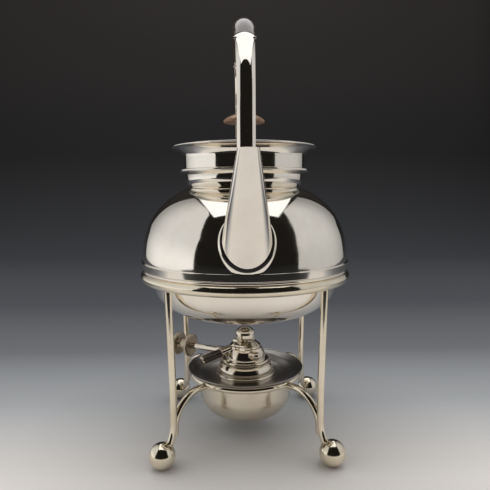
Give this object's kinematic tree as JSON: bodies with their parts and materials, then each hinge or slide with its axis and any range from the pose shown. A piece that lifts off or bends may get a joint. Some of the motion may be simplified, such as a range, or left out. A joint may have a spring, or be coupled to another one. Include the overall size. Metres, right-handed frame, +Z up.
{
  "type": "spirit kettle on stand",
  "caption": "Lidded spirit kettle with a straight spout and an overhead handle, set on a legged ring stand over a spirit burner with a hinged snuffer.",
  "frame": {"origin": "on the kettle's vertical axis, at the level of the table under the ball feet", "axes": "+Z up, spout towards -Y, +X to the right when the spout faces the viewer"},
  "size_m": [0.1628, 0.1978, 0.3205],
  "materials": {
    "kettle_plate": "polished silver plate",
    "stand_plate": "polished silver plate",
    "burner_plate": "softly polished silver plate",
    "knob_plate": "darkened, milled edge",
    "grip_wood": "dark, polished",
    "finial_wood": "brown, polished",
    "dark_wood": "dark, satin",
    "cotton": "woven cotton",
    "pin_steel": "plain"
  },
  "bodies": {
    "stand": {"stand_ring": "stand_plate", "lamp_ring": "stand_plate", "leg_front_left": "stand_plate", "foot_ball_front_left": "stand_plate", "bracket_front_left": "stand_plate", "leg_front_right": "stand_plate", "foot_ball_front_right": "stand_plate", "bracket_front_right": "stand_plate", "leg_rear_right": "stand_plate", "foot_ball_rear_right": "stand_plate", "bracket_rear_right": "stand_plate", "leg_rear_left": "stand_plate", "foot_ball_rear_left": "stand_plate", "bracket_rear_left": "stand_plate"},
    "kettle": {"kettle_bowl": "kettle_plate", "kettle_dome": "kettle_plate", "kettle_belt": "kettle_plate", "neck_collar": "kettle_plate", "neck_flange": "kettle_plate", "flared_rim": "kettle_plate", "lid_seat": "kettle_plate", "spout": "kettle_plate", "spout_base_ring": "kettle_plate", "handle_grip": "grip_wood", "lid_hinge_leaf_left": "kettle_plate", "lid_hinge_leaf_right": "kettle_plate", "lid_hinge_pin": "pin_steel", "handle_front_foot": "kettle_plate", "handle_front_leg": "kettle_plate", "handle_front_grip_pin": "pin_steel", "handle_rear_foot": "kettle_plate", "handle_rear_leg": "kettle_plate", "handle_rear_grip_pin": "pin_steel"},
    "lid": {"lid_cover": "kettle_plate", "lid_bezel": "kettle_plate", "lid_hinge_arm": "kettle_plate", "finial_stem": "kettle_plate", "finial_disc": "finial_wood", "finial_screw": "pin_steel"},
    "burner": {"lamp_dish": "burner_plate", "reservoir": "burner_plate", "burner_drum": "burner_plate", "burner_ledge": "burner_plate", "burner_tier": "burner_plate", "burner_lip": "burner_plate", "wick_tube": "burner_plate", "winder_bush": "burner_plate", "winder_end_cap": "burner_plate", "handle_ferrule": "burner_plate", "burner_handle": "dark_wood", "handle_end_cap": "burner_plate", "snuffer_knuckle_left": "burner_plate", "snuffer_knuckle_right": "burner_plate", "snuffer_pin": "pin_steel"},
    "winder": {"winder_shaft": "burner_plate", "winder_wheel": "burner_plate", "winder_knob": "knob_plate"},
    "wick": {"wick": "cotton"},
    "snuffer": {"snuffer_cap": "burner_plate", "snuffer_leaf": "burner_plate"}
  },
  "joints": [
    {"name": "kettle_lift", "type": "slide", "parent": "stand", "child": "kettle", "axis": [0, 0, 1], "range_m": [0, 0.06]},
    {"name": "burner_lift", "type": "slide", "parent": "stand", "child": "burner", "axis": [0, 0, 1], "range_m": [0, 0.008]},
    {"name": "lid_hinge", "type": "hinge", "parent": "kettle", "child": "lid", "pos_m": [0, 0.0507, 0.22836], "axis": [-1, 0, 0], "range_deg": [0, 48]},
    {"name": "wick_winder", "type": "hinge", "parent": "burner", "child": "winder", "pos_m": [-0.0044, -0.00762, 0.0645], "axis": [0.866, -0.5, 0], "range_deg": [0, 40]},
    {"name": "wick_slide", "type": "slide", "parent": "burner", "child": "wick", "axis": [0, 0, 1], "range_m": [0, 0.003]},
    {"name": "snuffer_hinge", "type": "hinge", "parent": "burner", "child": "snuffer", "pos_m": [-0.0061, -0.01057, 0.0716], "axis": [0.866, -0.5, 0], "range_deg": [0, 90]}
  ],
  "couplings": [
    {"joint": "wick_slide", "follows": "wick_winder", "m_per_rad": 0.0043}
  ]
}
